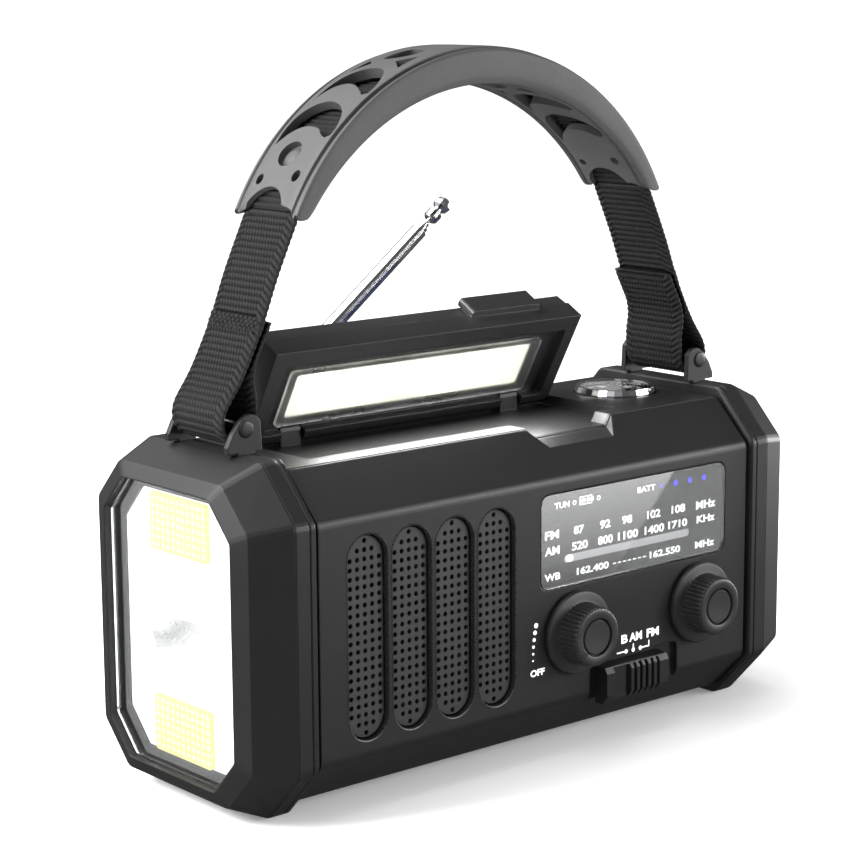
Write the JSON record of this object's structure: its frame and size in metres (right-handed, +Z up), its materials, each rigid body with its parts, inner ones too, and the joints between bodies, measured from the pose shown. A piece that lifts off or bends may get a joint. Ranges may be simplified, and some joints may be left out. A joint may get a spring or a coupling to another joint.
{
  "type": "emergency radio",
  "caption": "Octagonal emergency radio with a torch end, flip-up lamp lid, dial, knobs, folding crank, telescopic antenna and an arched webbing handle with a soft grip.",
  "frame": {"origin": "centre of the bounding box at the bottom, on the table plane", "axes": "+X along the body away from the torch end, -Y out of the dial face, +Z up"},
  "size_m": [0.1752, 0.0812, 0.171],
  "materials": {
    "black_abs": "fine matt texture",
    "satin_black": "satin",
    "grip_grey": "matt soft-touch",
    "webbing": "coarse woven nylon",
    "clear": "clear, polished",
    "frosted": "frosted diffuser",
    "silver_plate": "silver plated plastic",
    "chrome": "polished chrome",
    "steel": "plain steel",
    "phosphor": "pale yellow phosphor",
    "acetal": "grey acetal",
    "dial_print": "black printed film",
    "white": "white",
    "blue_light": "translucent blue",
    "paper": "black speaker paper",
    "fr4": "green board",
    "cell_sleeve": "blue sleeve over metal cells",
    "solar": "dark blue cells under resin",
    "card": "white card",
    "key_grey": "satin grey",
    "key_red": "satin red",
    "silicone": "matt silicone",
    "case_grey": "light grey component case"
  },
  "bodies": {
    "radio_body": {"front_shell": "black_abs", "rear_shell": "black_abs", "top_deck": "black_abs", "end_ring_left": "black_abs", "end_ring_right": "black_abs", "strap_bar_left": "steel", "strap_bar_right": "steel", "torch_bezel": "black_abs", "torch_lens": "clear", "torch_panel": "silver_plate", "torch_cob_upper": "phosphor", "torch_cob_lower": "phosphor", "torch_reflector": "silver_plate", "torch_led": "phosphor", "end_cap_right": "black_abs", "speaker_grille": "satin_black", "speaker_basket": "steel", "speaker_cone": "paper", "dial_window": "clear", "dial_scale": "dial_print", "battery_light_bar": "blue_light", "tuning_capacitor": "case_grey", "volume_pot": "case_grey", "band_switch_body": "steel", "main_board": "fr4", "battery_pack": "cell_sleeve", "lid_pin_left": "steel", "lid_pin_right": "steel", "compass_housing": "silver_plate", "compass_lens": "clear", "generator_body": "steel", "port_block": "steel"},
    "lid": {"lamp_lid": "black_abs", "lamp_cob": "phosphor", "lamp_lens": "frosted", "solar_panel": "solar"},
    "compass_needle_card": {"compass_card": "card"},
    "pointer": {"dial_pointer": "white"},
    "tuning": {"tuning_knob": "satin_black", "tuning_shaft": "acetal"},
    "volume": {"volume_knob": "satin_black"},
    "band_slider": {"band_switch_slider": "satin_black"},
    "mast_swivel": {"antenna_base": "chrome"},
    "mast_tube": {"antenna_tube": "chrome"},
    "mast_section_2": {"antenna_section_2": "chrome"},
    "mast_section_3": {"antenna_section_3": "chrome"},
    "mast_tip": {"antenna_tip": "chrome"},
    "crank": {"crank_arm": "black_abs", "crank_gear": "acetal"},
    "peg": {"crank_peg": "steel"},
    "handle_sleeve": {"crank_handle": "satin_black"},
    "idler": {"idler_gear": "acetal"},
    "rotor": {"generator_rotor": "steel"},
    "torch_button": {"torch_key": "key_grey"},
    "alarm_button": {"alarm_key": "key_red"},
    "socket_cover": {"port_cover": "silicone"},
    "left_strap": {"strap_left": "webbing"},
    "handle_grip": {"grip": "grip_grey", "strap_core": "webbing"},
    "right_strap": {"strap_right": "webbing"}
  },
  "joints": [
    {"name": "lid_hinge", "type": "hinge", "parent": "radio_body", "child": "lid", "pos_m": [-0.01015, 0.0109, 0.08105], "axis": [-1, 0, 0], "range_deg": [-60.8, 29]},
    {"name": "compass_card_turn", "type": "hinge", "parent": "radio_body", "child": "compass_needle_card", "pos_m": [0.0558, 0.0015, 0.0793], "axis": [0, 0, 1], "continuous": true},
    {"name": "tuning_turn", "type": "hinge", "parent": "radio_body", "child": "tuning", "pos_m": [0.052, -0.0265, 0.0305], "axis": [0, 1, 0], "range_deg": [0, 327.4]},
    {"name": "pointer_slide", "type": "slide", "parent": "radio_body", "child": "pointer", "axis": [1, 0, 0], "range_m": [0, 0.0401]},
    {"name": "volume_turn", "type": "hinge", "parent": "radio_body", "child": "volume", "pos_m": [0.0091, -0.026, 0.0305], "axis": [0, 1, 0], "range_deg": [0, 270]},
    {"name": "band_slide", "type": "slide", "parent": "radio_body", "child": "band_slider", "axis": [1, 0, 0], "range_m": [-0.002, 0.004]},
    {"name": "mast_swivel_turn", "type": "hinge", "parent": "radio_body", "child": "mast_swivel", "pos_m": [-0.0465, 0.0254, 0.078], "axis": [0, 0, 1], "range_deg": [-2, 180]},
    {"name": "mast_tilt", "type": "hinge", "parent": "mast_swivel", "child": "mast_tube", "pos_m": [-0.0465, 0.0254, 0.0813], "axis": [0, -1, 0], "range_deg": [-36.8, 52.7]},
    {"name": "mast_slide_2", "type": "slide", "parent": "mast_tube", "child": "mast_section_2", "axis": [0.7955, 0, 0.606], "range_m": [0, 0.056]},
    {"name": "mast_slide_3", "type": "slide", "parent": "mast_section_2", "child": "mast_section_3", "axis": [0.7955, 0, 0.606], "range_m": [0, 0.056]},
    {"name": "mast_slide_4", "type": "slide", "parent": "mast_section_3", "child": "mast_tip", "axis": [0.7955, 0, 0.606], "range_m": [0, 0.056]},
    {"name": "crank_turn", "type": "hinge", "parent": "radio_body", "child": "crank", "pos_m": [0.014, 0.03, 0.042], "axis": [0, 1, 0], "continuous": true},
    {"name": "handle_fold", "type": "hinge", "parent": "crank", "child": "peg", "pos_m": [-0.0178, 0.036, 0.042], "axis": [0, 0, 1], "range_deg": [0, 90]},
    {"name": "handle_spin", "type": "hinge", "parent": "peg", "child": "handle_sleeve", "pos_m": [-0.0058, 0.037, 0.042], "axis": [1, 0, 0], "continuous": true},
    {"name": "idler_turn", "type": "hinge", "parent": "radio_body", "child": "idler", "pos_m": [-0.005, 0.019, 0.042], "axis": [0, 1, 0], "continuous": true},
    {"name": "rotor_turn", "type": "hinge", "parent": "radio_body", "child": "rotor", "pos_m": [-0.02, 0.01, 0.042], "axis": [0, 1, 0], "continuous": true},
    {"name": "torch_press", "type": "slide", "parent": "radio_body", "child": "torch_button", "axis": [0, -1, 0], "range_m": [0, 0.0012], "stiffness_N_per_m": 400},
    {"name": "alarm_press", "type": "slide", "parent": "radio_body", "child": "alarm_button", "axis": [0, -1, 0], "range_m": [0, 0.0012], "stiffness_N_per_m": 400},
    {"name": "socket_cover_hinge", "type": "hinge", "parent": "radio_body", "child": "socket_cover", "pos_m": [0.046, 0.0329, 0.0159], "axis": [-1, 0, 0], "range_deg": [0, 110]},
    {"name": "left_strap_swing", "type": "hinge", "parent": "radio_body", "child": "left_strap", "pos_m": [-0.0733, 0, 0.088], "axis": [0, 1, 0], "range_deg": [-8, 8]},
    {"name": "grip_turn", "type": "hinge", "parent": "left_strap", "child": "handle_grip", "pos_m": [-0.057, 0, 0.1319], "axis": [0, 1, 0], "range_deg": [-11, 11]},
    {"name": "right_strap_turn", "type": "hinge", "parent": "handle_grip", "child": "right_strap", "pos_m": [0.057, 0, 0.1319], "axis": [0, 1, 0], "range_deg": [-11, 11]}
  ],
  "couplings": [
    {"joint": "pointer_slide", "follows": "tuning_turn", "m_per_rad": 0.007},
    {"joint": "idler_turn", "follows": "crank_turn", "ratio": -3.75},
    {"joint": "rotor_turn", "follows": "crank_turn", "ratio": 15},
    {"joint": "grip_turn", "follows": "left_strap_swing", "ratio": -1.286},
    {"joint": "right_strap_turn", "follows": "left_strap_swing", "ratio": 1.286}
  ]
}
